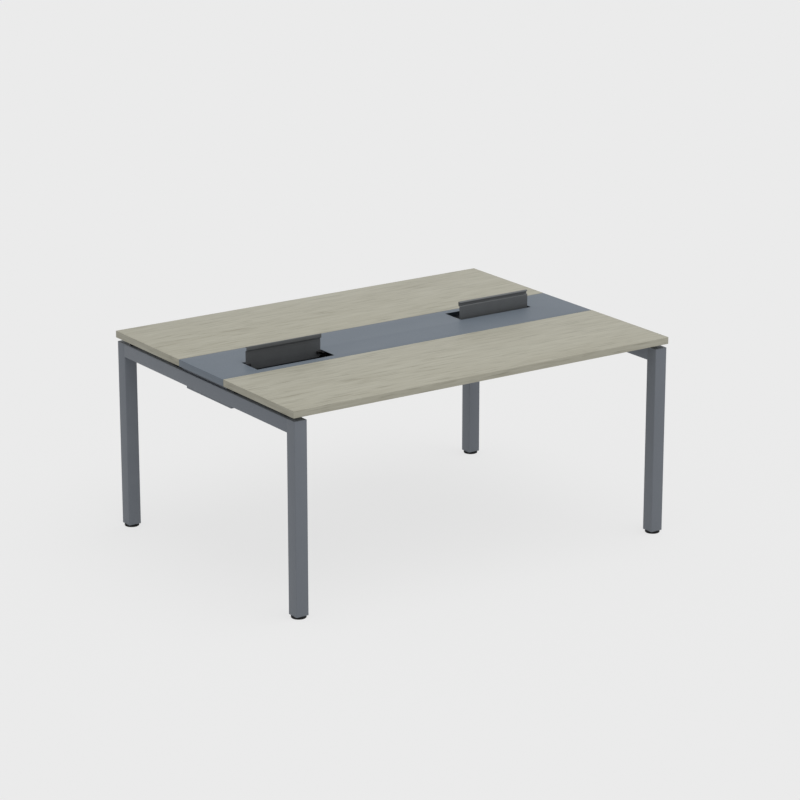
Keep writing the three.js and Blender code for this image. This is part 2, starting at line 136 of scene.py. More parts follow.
# Words that the nodes of the frame are named with
SIDES = ("near", "far")
ENDS = {"left": -1, "right": 1}
PLACES = ("inner", "outer")
CORNERS = [f"{side}_{end}" for side in SIDES for end in ENDS]
SPACERS = [f"{side}_middle" for side in SIDES]
SPACERS += [f"{corner}_{at}" for corner in CORNERS for at in PLACES]

# The sides that a face can look to
DIRECTIONS = {
    "-X": Vector((-1, 0, 0)), "+X": Vector((1, 0, 0)),
    "-Y": Vector((0, -1, 0)), "+Y": Vector((0, 1, 0)),
    "-Z": Vector((0, 0, -1)), "+Z": Vector((0, 0, 1)),
}


# Modelling by hand, one operator at a time

def start(piece=None):
    """Back to object mode with nothing selected but the piece."""
    if bpy.context.object and bpy.context.object.mode != "OBJECT":
        bpy.ops.object.mode_set(mode="OBJECT")
    bpy.ops.object.select_all(action="DESELECT")
    if piece:
        piece.select_set(True)
        bpy.context.view_layer.objects.active = piece


def place(name):
    """Names the object just made and puts its place into its mesh."""
    piece = bpy.context.object
    piece.name = piece.data.name = name
    bpy.ops.object.transform_apply(location=True, rotation=True, scale=True)
    return piece


def block(name, low, high):
    start()
    low, high = Vector(low), Vector(high)
    bpy.ops.mesh.primitive_cube_add(size=1, location=(low + high) / 2)
    bpy.context.object.scale = high - low
    return place(name)


def pick(piece, kind, test):
    """Edit mode, with only the faces, edges or vertices that pass the test selected."""
    start(piece)
    bpy.ops.object.mode_set(mode="EDIT")
    bpy.ops.mesh.select_mode(type=kind)
    bpy.ops.mesh.select_all(action="DESELECT")
    shape = bmesh.from_edit_mesh(piece.data)
    shape.normal_update()
    parts = {"FACE": shape.faces, "EDGE": shape.edges, "VERT": shape.verts}[kind]
    for part in parts:
        part.select_set(bool(test(part)))
    bmesh.update_edit_mesh(piece.data)


def middle(part):
    """The middle of an edge or a face."""
    points = [vertex.co for vertex in part.verts]
    return sum(points, Vector()) / len(points)


def looks_to(face, side):
    """Whether a face looks towards a side, such as "+Z"."""
    return face.normal.dot(DIRECTIONS[side]) > FACING


def is_level(face):
    return looks_to(face, "+Z") or looks_to(face, "-Z")


def is_fold(edge):
    return edge.is_manifold and edge.calc_face_angle(0) > FOLD_ANGLE


def length_along(edge, axis):
    """How far an edge runs along "x", "y" or "z"."""
    first, second = edge.verts
    return abs(getattr(first.co - second.co, axis))


def pull(offset):
    """Extrudes what is selected."""
    bpy.ops.mesh.extrude_region_move(TRANSFORM_OT_translate={"value": offset})


def draw_out(piece, side, test, offset):
    """Extrudes the faces of one side whose middle passes the test."""
    pick(piece, "FACE", lambda face: looks_to(face, side) and test(middle(face)))
    pull(offset)


def slice_at(piece, point, normal):
    pick(piece, "FACE", lambda face: True)
    bpy.ops.mesh.bisect(plane_co=point, plane_no=normal)


def modify(piece, kind, **settings):
    start(piece)
    modifier = piece.modifiers.new(kind.lower(), kind)
    for name, value in settings.items():
        setattr(modifier, name, value)
    bpy.ops.object.modifier_apply(modifier=modifier.name)


def soften(piece, width, segments=EDGE_SEGMENTS):
    """Breaks every sharp edge."""
    modify(piece, "BEVEL", width=width, segments=segments, limit_method="ANGLE", angle_limit=FOLD_ANGLE)


def round_edges(piece, test, radius, segments=FOLD_SEGMENTS):
    pick(piece, "EDGE", test)
    bpy.ops.mesh.bevel(offset=radius, segments=segments, affect="EDGES")


def merge_points(piece):
    pick(piece, "FACE", lambda face: True)
    bpy.ops.mesh.remove_doubles(threshold=TINY)


def tidy_faces(piece):
    merge_points(piece)
    bpy.ops.mesh.normals_make_consistent(inside=False)
    start(piece)


def thicken(piece, sheet):
    """Gives a skin its thickness, inwards."""
    tidy_faces(piece)
    modify(piece, "SOLIDIFY", thickness=sheet, offset=-1, use_even_offset=True)


def folded(name, box, open_sides, sheet, fold):
    """A box of bent sheet or tube, open on the given sides."""
    piece = block(name, *box)
    pick(piece, "FACE", lambda face: any(looks_to(face, side) for side in open_sides))
    bpy.ops.mesh.delete(type="FACE")
    round_edges(piece, is_fold, fold)
    thicken(piece, sheet)
    soften(piece, CUT_EDGE)
    return piece


def turned(name, rings, vertices=ROUND_VERTICES, base=0.0):
    """A round piece about the Z axis, drawn up by its (radius, height over the base) rings."""
    start()
    radius, height = rings[0]
    bpy.ops.mesh.primitive_circle_add(
        vertices=vertices, radius=radius, fill_type="NGON", location=(0, 0, base + height)
    )
    piece = place(name)
    bpy.ops.object.mode_set(mode="EDIT")
    bpy.ops.mesh.select_all(action="SELECT")
    for next_radius, next_height in rings[1:]:
        pull((0, 0, next_height - height))
        factor = next_radius / radius
        bpy.ops.transform.resize(value=(factor, factor, 1), center_override=(0, 0, base + next_height))
        radius, height = next_radius, next_height
    tidy_faces(piece)
    return piece


def bar(name, radius, length, edge):
    """A round bar that stands on the origin, with both rims chamfered."""
    return turned(name, [
        (radius - edge, 0), (radius, edge), (radius, length - edge), (radius - edge, length),
    ])


def bored(piece, radius, low, high, vertices=ROUND_VERTICES):
    """Takes a hole along the Z axis out of a piece, between two heights."""
    tool = turned("hole", [(radius, 0), (radius, high - low)], vertices, base=low)
    modify(piece, "BOOLEAN", operation="DIFFERENCE", object=tool, solver="EXACT")
    bpy.data.objects.remove(tool)


def lay(piece, way, point):
    """Lays a piece that stands at the origin along +X or -X, by the sign of way, and moves it to point."""
    start(piece)
    piece.rotation_euler = (0, math.copysign(math.pi / 2, way), 0)
    piece.location = point
    return place(piece.name)


def copied(piece, name, offset):
    start(piece)
    bpy.ops.object.duplicate(linked=False)
    bpy.ops.transform.translate(value=offset)
    return place(name)


def half_turned(piece, name):
    """A copy of the piece on the other diagonal of the desk."""
    start(piece)
    bpy.ops.object.duplicate(linked=False)
    bpy.context.object.rotation_euler = (0, 0, math.pi)
    return place(name)


def done(piece, slot, body, *nodes):
    """Gives the piece its finish, the body that it rides and the nodes that it stands for."""
    start(piece)
    if not piece.data.materials:
        piece.data.materials.append(FINISHES[slot])
    bpy.ops.object.shade_smooth_by_angle(angle=SMOOTH_ANGLE)
    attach(piece, body)
    if nodes:
        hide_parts(*nodes)


def centre_of(node):
    low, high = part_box(node)
    return (low + high) / 2


def at_corners(first, node, slot):
    """Copies of a piece that was made in the first corner's place, one for each corner of the desk."""
    for corner in CORNERS:
        offset = centre_of(f"{node}_{corner}") - centre_of(f"{node}_{CORNERS[0]}")
        done(copied(first, f"{first.name}_{corner}", offset), slot, "desk", f"{node}_{corner}")
    bpy.data.objects.remove(first)


def cad_piece(node, slot):
    """A CAD node that keeps its shape, with its sharp edges broken and a finish."""
    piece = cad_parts[node]
    piece.material_slots[0].material = FINISHES[slot]
    weld = piece.modifiers.new("weld", "WELD")
    weld.merge_threshold = TINY
    bevel = piece.modifiers.new("broken_edges", "BEVEL")
    bevel.width = CUT_EDGE
    bevel.segments = EDGE_SEGMENTS
    bevel.limit_method = "ANGLE"
    bevel.angle_limit = FOLD_ANGLE


# Nodes of the finishes

# Blender's mix node has its colours at these sockets, under names that other sockets share
MIX_FIRST = 6
MIX_SECOND = 7
MIX_RESULT = 2

SCREEN_WHITE = 255


def colour(red, green, blue):
    """A colour as it looks on screen, from 0 to 255, as the linear values that shaders take."""
    shown = Color((red / SCREEN_WHITE, green / SCREEN_WHITE, blue / SCREEN_WHITE))
    return (*shown.from_srgb_to_scene_linear(), 1)


class Nodes:
    """Adds and links the nodes of one tree."""

    def __init__(self, tree):
        self.tree = tree

    def add(self, kind, inputs=None, **settings):
        node = self.tree.nodes.new(kind)
        for name, value in settings.items():
            setattr(node, name, value)
        for name, value in (inputs or {}).items():
            self.feed(node.inputs[name], value)
        return node

    def feed(self, socket, value):
        if isinstance(value, bpy.types.NodeSocket):
            self.tree.links.new(value, socket)
        else:
            socket.default_value = value

    def math(self, operation, first, second):
        return self.add("ShaderNodeMath", {0: first, 1: second}, operation=operation).outputs[0]

    def raised(self, base, value, share):
        """The base plus a share of the value."""
        return self.math("ADD", base, self.math("MULTIPLY", value, share))

    def blend(self, values, shares):
        """The sum of the named values, each times its share."""
        parts = [self.math("MULTIPLY", values[name], share) for name, share in shares.items()]
        total = parts[0]
        for part in parts[1:]:
            total = self.math("ADD", total, part)
        return total

    def mix(self, factor, first, second):
        node = self.add("ShaderNodeMix", data_type="RGBA")
        self.feed(node.inputs["Factor"], factor)
        self.feed(node.inputs[MIX_FIRST], first)
        self.feed(node.inputs[MIX_SECOND], second)
        return node.outputs[MIX_RESULT]

    def mix_shaders(self, factor, first, second):
        return self.add("ShaderNodeMixShader", {0: factor, 1: first, 2: second}).outputs[0]

    def ramp(self, value, low=0.0, high=1.0, first=0.0, last=1.0):
        """Maps the range from low to high to the range from first to last."""
        inputs = {"Value": value, "From Min": low, "From Max": high, "To Min": first, "To Max": last}
        return self.add("ShaderNodeMapRange", inputs, clamp=True).outputs[0]

    def position(self):
        """Where the point lies in the desk's frame."""
        return self.add("ShaderNodeTexCoord").outputs["Object"]

    def noise(self, vector, scale, detail=2.0, roughness=0.5):
        inputs = {"Vector": vector, "Scale": scale, "Detail": detail, "Roughness": roughness}
        return self.add("ShaderNodeTexNoise", inputs).outputs[0]

    def grain(self, vector, along, across, **fineness):
        """Noise drawn out along X, by how often it changes per metre along and across."""
        rates = (along, across, across)
        stretched = self.add("ShaderNodeVectorMath", {0: vector, 1: rates}, operation="MULTIPLY")
        return self.noise(stretched.outputs[0], 1.0, **fineness)


def effect(name, inputs):
    """An empty effect that gives a colour, a roughness and a height, as (nodes, its input, its output)."""
    tree = bpy.data.node_groups.new(name, "ShaderNodeTree")
    kinds = {"colour": "NodeSocketColor", "value": "NodeSocketFloat", "vector": "NodeSocketVector"}
    for label, kind in inputs.items():
        tree.interface.new_socket(label, in_out="INPUT", socket_type=kinds[kind])
    for label, kind in {"Colour": "colour", "Roughness": "value", "Height": "value"}.items():
        tree.interface.new_socket(label, in_out="OUTPUT", socket_type=kinds[kind])
    nodes = Nodes(tree)
    return nodes, nodes.add("NodeGroupInput").outputs, nodes.add("NodeGroupOutput").inputs


def give(nodes, out, shown, rough, height):
    """Ends an effect."""
    for label, value in (("Colour", shown), ("Roughness", rough), ("Height", height)):
        nodes.feed(out[label], value)
    return nodes.tree


# Wood, with each layer of its grain by how often it changes per metre
OAK_LAYERS = {
    "bands": {"along": 1.6, "across": 14},
    "streaks": {"along": 6, "across": 110, "detail": 3.0, "roughness": 0.6},
    "threads": {"along": 14, "across": 420},
    "dashes": {"along": 8, "across": 120},
    "hairs": {"along": 36, "across": 1300},
}
OAK_TONE_SHARES = {"bands": 0.2, "streaks": 0.45, "threads": 0.2, "hairs": 0.15}
OAK_TONE_RANGE = (0.38, 0.62)
OAK_PORE_RANGE = (0.53, 0.72)
OAK_PORE_BREAKS = (0.36, 0.56)
OAK_PORE_SHARE = 0.62
OAK_RELIEF_SHARES = {"threads": 0.3, "hairs": 0.3}
OAK_ROUGHNESS = 0.5
OAK_ROUGHNESS_SPREAD = 0.14


def oak_streaks():
    """Open grain along X: bands and streaks of tone, hair-fine lines and short dark pores."""
    nodes, given, out = effect(
        "oak_streaks", {"Vector": "vector", "Light": "colour", "Dark": "colour", "Pore": "colour"}
    )
    layers = {name: nodes.grain(given["Vector"], **rates) for name, rates in OAK_LAYERS.items()}
    tone = nodes.ramp(nodes.blend(layers, OAK_TONE_SHARES), *OAK_TONE_RANGE)
    dashes = nodes.ramp(layers["dashes"], *OAK_PORE_RANGE)
    breaks = nodes.ramp(layers["threads"], *OAK_PORE_BREAKS)
    pores = nodes.math("MULTIPLY", dashes, breaks)
    wood = nodes.mix(tone, given["Light"], given["Dark"])
    shown = nodes.mix(nodes.math("MULTIPLY", pores, OAK_PORE_SHARE), wood, given["Pore"])
    rough = nodes.raised(OAK_ROUGHNESS, layers["streaks"], OAK_ROUGHNESS_SPREAD)
    height = nodes.math("SUBTRACT", nodes.blend(layers, OAK_RELIEF_SHARES), pores)
    return give(nodes, out, shown, rough, height)


# Sprayed and moulded surfaces
MOTTLE_SCALE = 14.0
MOTTLE_DETAIL = 3.0
SPECK_RANGE = (0.35, 0.7)
COAT_TONE_SHARES = {"mottle": 0.55, "speck": 0.3}
COAT_ROUGHNESS = 0.5
COAT_ROUGHNESS_SPREAD = 0.1


def coat_grain():
    """The fine orange peel and slight mottle of a sprayed or moulded surface."""
    nodes, given, out = effect("coat_grain", {"Colour": "colour", "Shade": "colour", "Peel Scale": "value"})
    vector = nodes.position()
    peel = nodes.noise(vector, given["Peel Scale"])
    speck = nodes.ramp(peel, *SPECK_RANGE)
    layers = {"mottle": nodes.noise(vector, MOTTLE_SCALE, MOTTLE_DETAIL), "speck": speck}
    shown = nodes.mix(nodes.blend(layers, COAT_TONE_SHARES), given["Colour"], given["Shade"])
    rough = nodes.raised(COAT_ROUGHNESS, speck, COAT_ROUGHNESS_SPREAD)
    return give(nodes, out, shown, rough, peel)


# Metal that was drawn through a die or brushed
LINES = {"along": 3, "across": 900, "detail": 3.0, "roughness": 0.6}
CLOUD_SCALE = 22.0
CLOUD_DETAIL = 3.0
METAL_TONE_SHARES = {"lines": 0.6, "cloud": 0.4}
METAL_TONE_RANGE = (0.3, 0.7)
METAL_ROUGHNESS_SPREAD = 0.16


def drawn_lines():
    """Faint lines along X, as an extrusion die or a wire brush leaves them."""
    nodes, given, out = effect("drawn_lines", {"Colour": "colour", "Shade": "colour", "Roughness": "value"})
    vector = nodes.position()
    lines = nodes.grain(vector, **LINES)
    layers = {"lines": lines, "cloud": nodes.noise(vector, CLOUD_SCALE, CLOUD_DETAIL)}
    tone = nodes.ramp(nodes.blend(layers, METAL_TONE_SHARES), *METAL_TONE_RANGE)
    shown = nodes.mix(tone, given["Colour"], given["Shade"])
    rough = nodes.raised(given["Roughness"], lines, METAL_ROUGHNESS_SPREAD)
    return give(nodes, out, shown, rough, lines)


# Finishes; a relief is the strength of the bump and its height in metres
OAK_TONES = {"Light": (175, 173, 159), "Dark": (160, 157, 142), "Pore": (120, 117, 102)}
OAK_SPECULAR = 0.25
BOARD_RELIEF = (0.15, 0.0004)
EDGING_RELIEF = (0.1, 0.0003)
# Painted shade: the edging's colours are scaled darker than the boards' for the lesser light on its upright
# faces, more on the faces that look along X.
ALONG_EDGE_PAINTED_SHADE = 0.975
ACROSS_EDGE_PAINTED_SHADE = 0.94
SPRAYED_PEEL = 900.0
SPRAYED_RELIEF = (0.12, 0.0002)
SPRAYED_SPECULAR = 0.3
MOULDED_PEEL = 1400.0
MOULDED_RELIEF = (0.2, 0.0002)
MOULDED_SPECULAR = 0.2
ANODISED_RELIEF = (0.1, 0.0002)
ZINC_RELIEF = (0.08, 0.0001)

OAK_EFFECT = oak_streaks()
COAT_EFFECT = coat_grain()
METAL_EFFECT = drawn_lines()


def finish(name, kind, inputs, relief, metallic=0.0, specular=0.5, turn=None):
    """A material whose colour, roughness and relief come from one effect; turn is for grain, about Z."""
    material = bpy.data.materials.new(name)
    material.use_nodes = True
    material.node_tree.nodes.clear()
    nodes = Nodes(material.node_tree)
    look = nodes.add("ShaderNodeGroup", node_tree=kind)
    for label, value in inputs.items():
        nodes.feed(look.inputs[label], value)
    if turn is not None:
        grain = nodes.add("ShaderNodeMapping", {"Vector": nodes.position(), "Rotation": (0, 0, turn)})
        nodes.feed(look.inputs["Vector"], grain.outputs[0])
    strength, distance = relief
    bump = nodes.add(
        "ShaderNodeBump", {"Height": look.outputs["Height"], "Strength": strength, "Distance": distance}
    )
    shader = nodes.add("ShaderNodeBsdfPrincipled", {
        "Base Color": look.outputs["Colour"],
        "Roughness": look.outputs["Roughness"],
        "Normal": bump.outputs[0],
        "Metallic": metallic,
        "Specular IOR Level": specular,
    })
    nodes.add("ShaderNodeOutputMaterial", {"Surface": shader.outputs[0]})
    return material


def oak(name, relief, painted_shade=1.0, turn=0.0):
    """The wood decor; on the edging its colours are scaled darker, a painted shade for the lesser light on
    upright faces.
    """
    tones = {label: colour(*(painted_shade * value for value in tone)) for label, tone in OAK_TONES.items()}
    return finish(name, OAK_EFFECT, tones, relief, specular=OAK_SPECULAR, turn=turn)


def sprayed(name, light, dark):
    inputs = {"Colour": colour(*light), "Shade": colour(*dark), "Peel Scale": SPRAYED_PEEL}
    return finish(name, COAT_EFFECT, inputs, SPRAYED_RELIEF, specular=SPRAYED_SPECULAR)


def moulded(name, light, dark):
    inputs = {"Colour": colour(*light), "Shade": colour(*dark), "Peel Scale": MOULDED_PEEL}
    return finish(name, COAT_EFFECT, inputs, MOULDED_RELIEF, specular=MOULDED_SPECULAR)


def metal(name, light, dark, roughness, relief, **shine):
    inputs = {"Colour": colour(*light), "Shade": colour(*dark), "Roughness": roughness}
    return finish(name, METAL_EFFECT, inputs, relief, **shine)


FINISHES = {
    "laminate": oak("oak_laminate", BOARD_RELIEF),
    "edge_banding": oak("oak_edging_along_painted_shade", EDGING_RELIEF, ALONG_EDGE_PAINTED_SHADE),
    "spine_coat": sprayed("spine_powder_coat", light=(104, 113, 123), dark=(97, 106, 115)),
    "powder_coat": sprayed("frame_powder_coat", light=(111, 116, 123), dark=(103, 108, 115)),
    "dark_anodised": metal(
        "flap_dark_anodised", light=(102, 105, 107), dark=(93, 95, 97),
        roughness=0.42, relief=ANODISED_RELIEF, metallic=0.3, specular=0.4,
    ),
    "black_plastic": moulded("moulded_black_plastic", light=(17, 17, 18), dark=(12, 12, 13)),
    "zinc_plate": metal(
        "bright_zinc", light=(196, 199, 202), dark=(172, 176, 180),
        roughness=0.25, relief=ZINC_RELIEF, metallic=1.0,
    ),
}
EDGING_ACROSS_PAINTED_SHADE = oak("oak_edging_across_painted_shade", EDGING_RELIEF, ACROSS_EDGE_PAINTED_SHADE, turn=math.pi / 2)


# Worktops

def worktop(side):
    board = block(f"board_{side}", *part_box(f"worktop_{side}"))
    soften(board, BOARD_SOFTENING)
    done(board, "laminate", "desk", f"worktop_{side}")

    band = block(f"edging_{side}", *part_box(f"edge_band_{side}"))
    round_edges(band, lambda edge: length_along(edge, "z") > EDGE_BAND, EDGE_BAND)
    pick(band, "FACE", is_level)
    bpy.ops.mesh.delete(type="FACE")
    thicken(band, EDGE_BAND)
    merge_points(band)
    board_middle = centre_of(f"worktop_{side}")

    def on_outer_rim(edge):
        outwards = middle(edge) - board_middle
        outwards.z = 0
        upright = [face for face in edge.link_faces if not is_level(face)]
        outside = any(face.normal.dot(outwards) > 0 for face in upright)
        return outside and len(upright) < len(edge.link_faces)

    round_edges(band, on_outer_rim, EDGE_SOFTENING)
    start(band)
    # Faces that look along X take the across edging: its grain is turned about Z and it carries a deeper
    # painted shade.
    band.data.materials.append(FINISHES["edge_banding"])
    band.data.materials.append(EDGING_ACROSS_PAINTED_SHADE)
    for face in band.data.polygons:
        face.material_index = int(abs(face.normal.x) > abs(face.normal.y))
    done(band, "edge_banding", "desk", f"edge_band_{side}")


# Spine cover

def over_opening(point):
    sign = math.copysign(1, point.x)
    x, y = abs(point.x), sign * point.y
    return OPENING_X[0] < x < OPENING_X[1] and OPENING_Y[0] < y < OPENING_Y[1]


def spine_cover():
    cover = block("spine_lid", *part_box("spine_cover"))
    for sign in ENDS.values():
        for x in OPENING_X:
            slice_at(cover, (sign * x, 0, 0), DIRECTIONS["+X"])
        for y in OPENING_Y:
            slice_at(cover, (0, sign * y, 0), DIRECTIONS["+Y"])

    def is_open(face):
        return looks_to(face, "-Z") or (looks_to(face, "+Z") and over_opening(middle(face)))

    pick(cover, "FACE", is_open)
    bpy.ops.mesh.delete(type="FACE")
    round_edges(cover, is_fold, SPINE_FOLD)
    thicken(cover, SPINE_SHEET)
    soften(cover, CUT_EDGE)
    done(cover, "spine_coat", "desk", "spine_cover")


# Cable flaps, with the right one's section as places along Y and heights

FLAP_LOW, FLAP_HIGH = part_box("flap_right")
FLAP_PIVOT = centre_of("flap_right_pin_outer")
TOP_FACE = FLAP_PIVOT.y + FLAP_TOP_FACE
UNDER_FACE = TOP_FACE + FLAP_THICKNESS
FLOOR_FACE = TOP_FACE + GROOVE_DEPTH
BACK_FACE = FLOOR_FACE + FLAP_THICKNESS
LEDGE = FLAP_HIGH.z - GROOVE_LEDGE
LEDGE_UNDER = LEDGE - FLAP_THICKNESS

# The lip leans, so its outer corner stands higher than its bend, and its wall is cut on the slant
LIP_RISE = math.tan(GROOVE_LIP_LEAN)
LIP_FALL = GROOVE_DEPTH * LIP_RISE
BEND_SHARE = math.tan((math.pi / 2 + GROOVE_LIP_LEAN) / 2)
LIP_CORNER = FLAP_HIGH.z + GROOVE_LIP_RADIUS * (BEND_SHARE - 1)
LIP_TOP = LIP_CORNER - FLAP_THICKNESS * LIP_RISE
LIP_UNDER = LIP_TOP - FLAP_THICKNESS / math.cos(GROOVE_LIP_LEAN)

# The radius of each bend, and the corners of the section that it rounds
GROOVE_FLOOR_RADIUS = GROOVE_DEPTH - GROOVE_MOUTH_RADIUS
FLAP_BENDS = (
    (GROOVE_MOUTH_RADIUS, (TOP_FACE, LEDGE)),
    (GROOVE_MOUTH_RADIUS - FLAP_THICKNESS, (UNDER_FACE, LEDGE_UNDER)),
    (GROOVE_FLOOR_RADIUS, (FLOOR_FACE, LEDGE)),
    (GROOVE_FLOOR_RADIUS + FLAP_THICKNESS, (BACK_FACE, LEDGE_UNDER)),
    (GROOVE_LIP_RADIUS * BEND_SHARE, (BACK_FACE, LIP_CORNER)),
    ((GROOVE_LIP_RADIUS - FLAP_THICKNESS) * BEND_SHARE, (FLOOR_FACE, LIP_UNDER)),
    (LIP_TIP_ROUNDING, (TOP_FACE, LIP_TOP - LIP_FALL), (TOP_FACE, LIP_UNDER - LIP_FALL)),
    (TAIL_ROUNDING, (TOP_FACE, FLAP_LOW.z), (UNDER_FACE, FLAP_LOW.z)),
)


def flap_section():
    """The right flap with square corners, drawn out from its tail to its lip."""
    tail = (FLAP_LOW.x, TOP_FACE, FLAP_LOW.z)
    flap = block("flap_plate_right", tail, (FLAP_HIGH.x, UNDER_FACE, LEDGE_UNDER))
    draw_out(flap, "+Z", lambda point: True, (0, 0, FLAP_THICKNESS))
    draw_out(flap, "+Y", lambda point: point.z > LEDGE_UNDER, (0, GROOVE_DEPTH - FLAP_THICKNESS, 0))
    draw_out(flap, "+Y", lambda point: point.z > LEDGE_UNDER, (0, FLAP_THICKNESS, 0))
    draw_out(flap, "+Z", lambda point: point.y > FLOOR_FACE, (0, 0, LIP_UNDER - LEDGE))
    draw_out(flap, "+Z", lambda point: point.y > FLOOR_FACE, (0, 0, LIP_TOP - LIP_UNDER))
    draw_out(flap, "-Y", lambda point: point.z > LIP_UNDER, (0, -GROOVE_DEPTH, -LIP_FALL))
    pick(flap, "VERT", lambda vertex: vertex.co.y > BACK_FACE - TINY and vertex.co.z > LIP_TOP - TINY)
    bpy.ops.transform.translate(value=(0, 0, LIP_CORNER - LIP_TOP))
    pick(flap, "FACE", lambda face: True)
    bpy.ops.mesh.dissolve_limited(angle_limit=FLAT_ANGLE)
    return flap


def runs_at(corners):
    """A test for the flap's long edges at any of these corners of its section."""
    def test(edge):
        spot = middle(edge)
        at_corner = any(abs(spot.y - y) < TINY and abs(spot.z - z) < TINY for y, z in corners)
        return at_corner and length_along(edge, "x") > KNUCKLE_LENGTH
    return test


def cable_flaps():
    flap = flap_section()
    for radius, *corners in FLAP_BENDS:
        round_edges(flap, runs_at(corners), radius, BEND_SEGMENTS)
    tidy_faces(flap)
    round_edges(flap, lambda edge: is_fold(edge) and length_along(edge, "x") < TINY, FLAP_END_EDGE)
    twin = half_turned(flap, "flap_plate_left")
    done(flap, "dark_anodised", "flap_right", "flap_right")
    done(twin, "dark_anodised", "flap_left", "flap_left")


def flap_barrels():
    """The moulded barrels that take the pins, let into the plate at its two ends."""
    for at, first_x in zip(PLACES, (FLAP_LOW.x, FLAP_HIGH.x - KNUCKLE_LENGTH)):
        barrel = bar(f"flap_barrel_right_{at}", KNUCKLE_RADIUS, KNUCKLE_LENGTH, CUT_EDGE)
        bored(barrel, KNUCKLE_BORE, -KNUCKLE_LENGTH, 2 * KNUCKLE_LENGTH)
        lay(barrel, 1, (first_x, FLAP_PIVOT.y, FLAP_PIVOT.z))
        twin = half_turned(barrel, f"flap_barrel_left_{at}")
        done(barrel, "black_plastic", "flap_right")
        done(twin, "black_plastic", "flap_left")


def flap_pins():
    low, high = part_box("flap_right_pin_outer")
    length = high.x - low.x
    first = bar("flap_dowel", (high.z - low.z) / 2, length, PIN_CHAMFER)
    for end in ENDS:
        for at in PLACES:
            node = f"flap_{end}_pin_{at}"
            pin = copied(first, f"flap_dowel_{end}_{at}", (0, 0, -length / 2))
            done(lay(pin, 1, centre_of(node)), "black_plastic", "desk", node)
    bpy.data.objects.remove(first)


# Frame

def legs():
    leg = folded("leg_tube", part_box(f"leg_{CORNERS[0]}"), ("-Z", "+Z"), TUBE_WALL, TUBE_CORNER)
    at_corners(leg, "leg", "powder_coat")


def end_frame(end):
    """The rail, which meets the legs between their rounded corners, and the channel under the spine."""
    low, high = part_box(f"end_rail_{end}")
    low.y -= WELD_GAP + TUBE_CORNER
    high.y += WELD_GAP + TUBE_CORNER
    rail = folded(f"rail_tube_{end}", (low, high), ("-Y", "+Y"), TUBE_WALL, TUBE_CORNER)
    done(rail, "powder_coat", "desk", f"end_rail_{end}")
    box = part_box(f"spine_support_{end}")
    support = folded(f"spine_channel_{end}", box, ("-Y", "+Y", "-Z"), SUPPORT_WALL, SUPPORT_FOLD)
    done(support, "powder_coat", "desk", f"spine_support_{end}")


def beam(side):
    """The beam under one worktop and its two end plates."""
    tube = folded(f"beam_tube_{side}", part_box(f"beam_{side}"), ("-X", "+X"), TUBE_WALL, TUBE_CORNER)
    done(tube, "powder_coat", "desk", f"beam_{side}")
    for end in ENDS:
        node = f"beam_plate_{side}_{end}"
        plate = block(f"beam_flange_{side}_{end}", *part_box(node))
        round_edges(plate, lambda edge: length_along(edge, "x") > TINY, PLATE_CORNER)
        soften(plate, CUT_EDGE)
        done(plate, "powder_coat", "desk", node)


def cable_tray():
    low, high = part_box("cable_tray")
    trough_top = low.z + TRAY_TROUGH
    tray = block("tray_trough", low, (high.x, high.y, trough_top))
    notch = high.y - TRAY_CORNER_NOTCH
    for sign in ENDS.values():
        slice_at(tray, (0, sign * notch, 0), DIRECTIONS["+Y"])
        slice_at(tray, (sign * TRAY_SIDE_END, 0, 0), DIRECTIONS["+X"])
    pick(tray, "FACE", lambda face: looks_to(face, "+Z"))
    bpy.ops.mesh.delete(type="FACE")

    def on_rim(**spot):
        """A test for the open edges whose middle lies at the given x or y."""
        def test(edge):
            found = middle(edge)
            near = all(abs(getattr(found, axis) - at) < TINY for axis, at in spot.items())
            return edge.is_boundary and near
        return test

    # A lap inwards from the middle of each end, then the long sides drawn up
    for end, sign in ((low.x, 1), (high.x, -1)):
        pick(tray, "EDGE", on_rim(x=end, y=0))
        pull((sign * TRAY_LAP, 0, 0))
    pick(tray, "EDGE", on_rim(x=0))
    pull((0, 0, high.z - trough_top))
    tidy_faces(tray)
    round_edges(tray, is_fold, TRAY_FOLD)
    pick(tray, "VERT", lambda vertex: abs(vertex.co.z - high.z) < TINY)
    bpy.ops.mesh.bevel(offset=TRAY_SIDE_CORNER, segments=FOLD_SEGMENTS, affect="VERTICES")
    thicken(tray, TRAY_SHEET)
    soften(tray, CUT_EDGE)
    done(tray, "powder_coat", "desk", "cable_tray")


# Feet, caps and spacers

def foot_disc():
    low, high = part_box(f"foot_pad_{CORNERS[0]}")
    radius = (high.x - low.x) / 2
    height = high.z - low.z
    sole = radius - PAD_SOLE_EDGE
    pad = turned("foot_disc", [
        (sole - PAD_SOLE_HOLLOW, PAD_SOLE_HOLLOW),
        (sole, 0),
        (radius, 0),
        (radius, PAD_PARTING_HEIGHT - PAD_PARTING_DEPTH),
        (radius - PAD_PARTING_DEPTH, PAD_PARTING_HEIGHT),
        (radius, PAD_PARTING_HEIGHT + PAD_PARTING_DEPTH),
        (radius, height),
        (PAD_SOCKET_RADIUS, height),
        (PAD_SOCKET_RADIUS, height - PAD_SOCKET_DEPTH),
    ], PAD_VERTICES)

    def on_rim(vertex):
        return vertex.co.xy.length > radius - TINY and not TINY < vertex.co.z < height - TINY

    round_edges(pad, lambda edge: all(on_rim(vertex) for vertex in edge.verts), PAD_ROUNDING)
    return pad


def foot_thread():
    """The stem, with its thread drawn as rings of crests and roots."""
    low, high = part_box(f"foot_stem_{CORNERS[0]}")
    length = high.z - low.z
    rings = [(STEM_ROOT, 0)]
    for index in range(int(length / STEM_PITCH) - 1):
        crest = STEM_FIRST_CREST + index * STEM_PITCH
        rings += [(STEM_RADIUS, crest), (STEM_ROOT, crest + STEM_PITCH / 2)]
    rings.append((STEM_ROOT, length))
    return turned("foot_thread", rings, THREAD_VERTICES, base=low.z)


